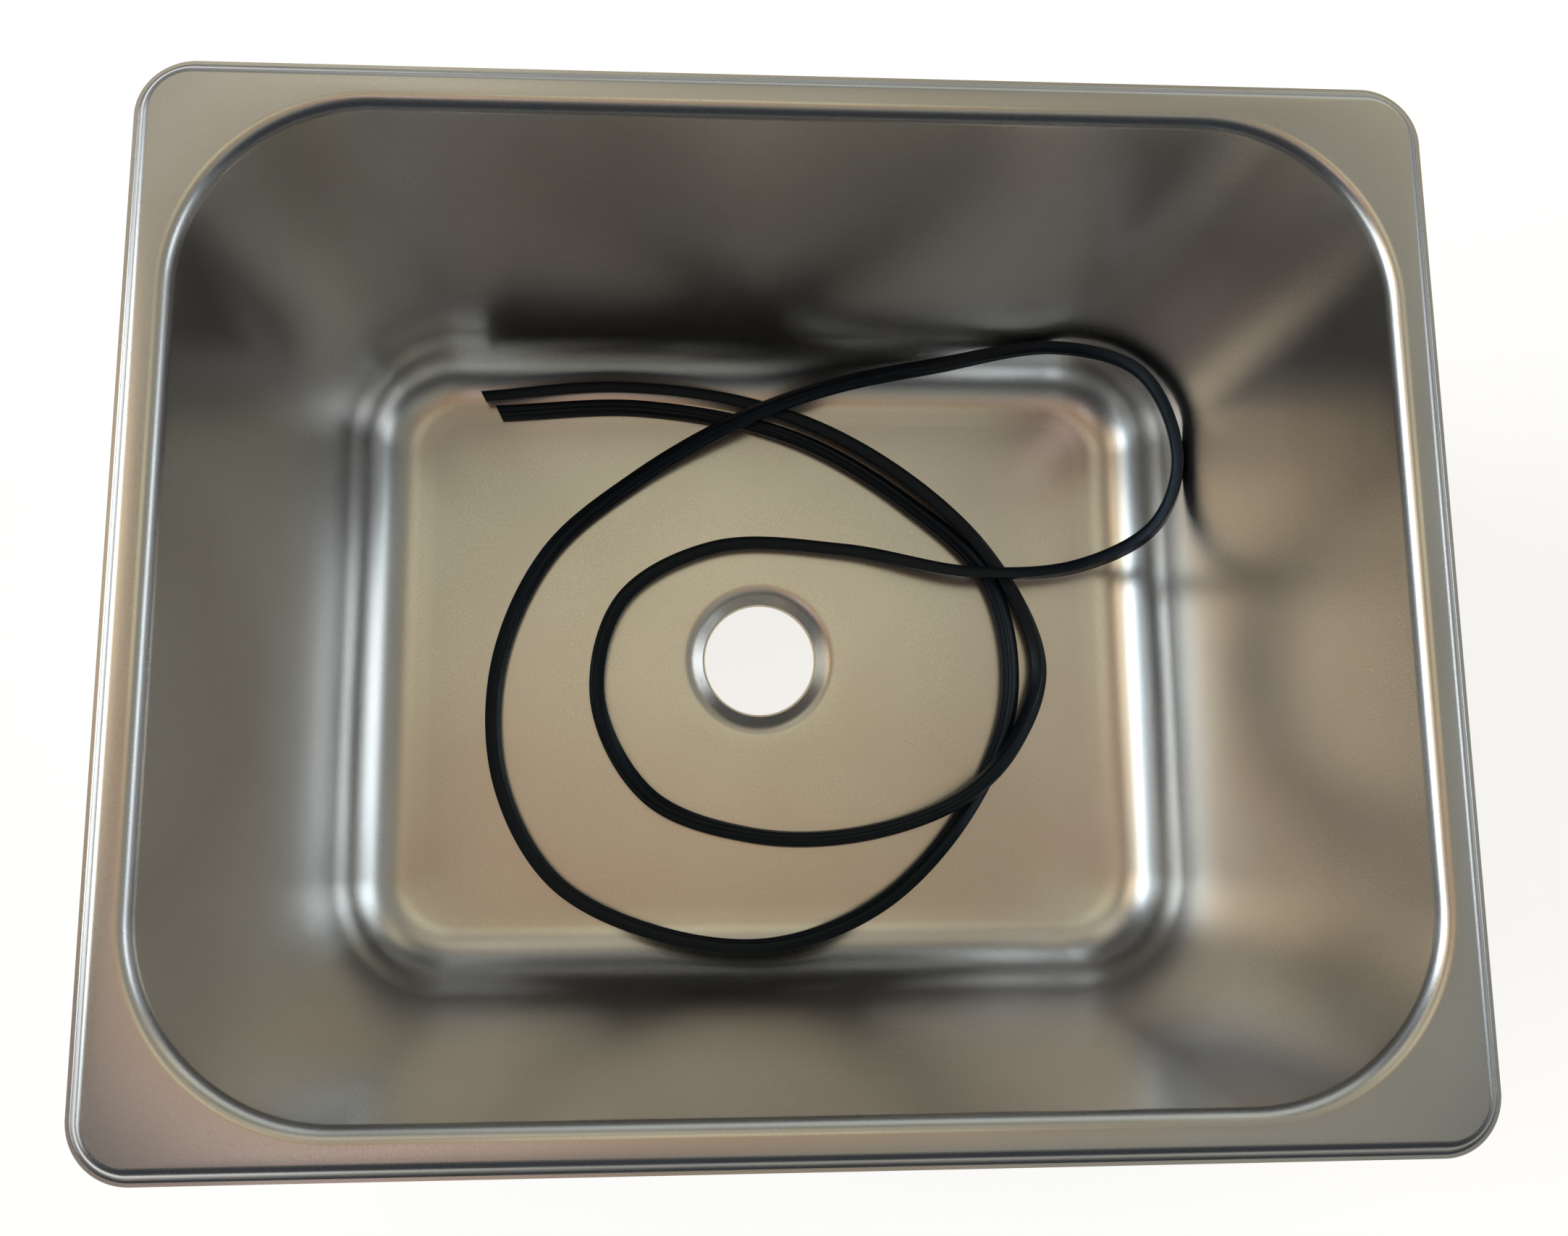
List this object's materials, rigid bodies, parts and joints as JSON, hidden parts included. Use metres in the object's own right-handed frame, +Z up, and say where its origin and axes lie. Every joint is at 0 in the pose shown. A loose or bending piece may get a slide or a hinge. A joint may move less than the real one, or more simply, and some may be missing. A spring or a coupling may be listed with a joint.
{
  "type": "pedicure foot bath bowl",
  "caption": "Deep rectangular pressed steel foot bath bowl with a raised flat rim, rounded corners, a dished open drain hole and a loose rubber seal strip lying in it.",
  "frame": {"origin": "under the middle of the drain seat, at the height of its lower face, which is the bowl's lowest face", "axes": "+X along the long side of the rim, +Y across it, +Z up out of the opening"},
  "size_m": [0.42, 0.342, 0.2114],
  "materials": {
    "satin_steel": "satin pressed stainless steel with a fine grain, soft reflections and faint water marks",
    "black_rubber": "smooth extruded black rubber with a soft sheen"
  },
  "bodies": {
    "bowl": {"bowl": "satin_steel"},
    "seal_strip": {"seal_strip": "black_rubber"}
  },
  "joints": [
    {"name": "strip_lift_out", "type": "slide", "parent": "bowl", "child": "seal_strip", "axis": [0, 0, 1], "range_m": [0, 0.25]}
  ]
}
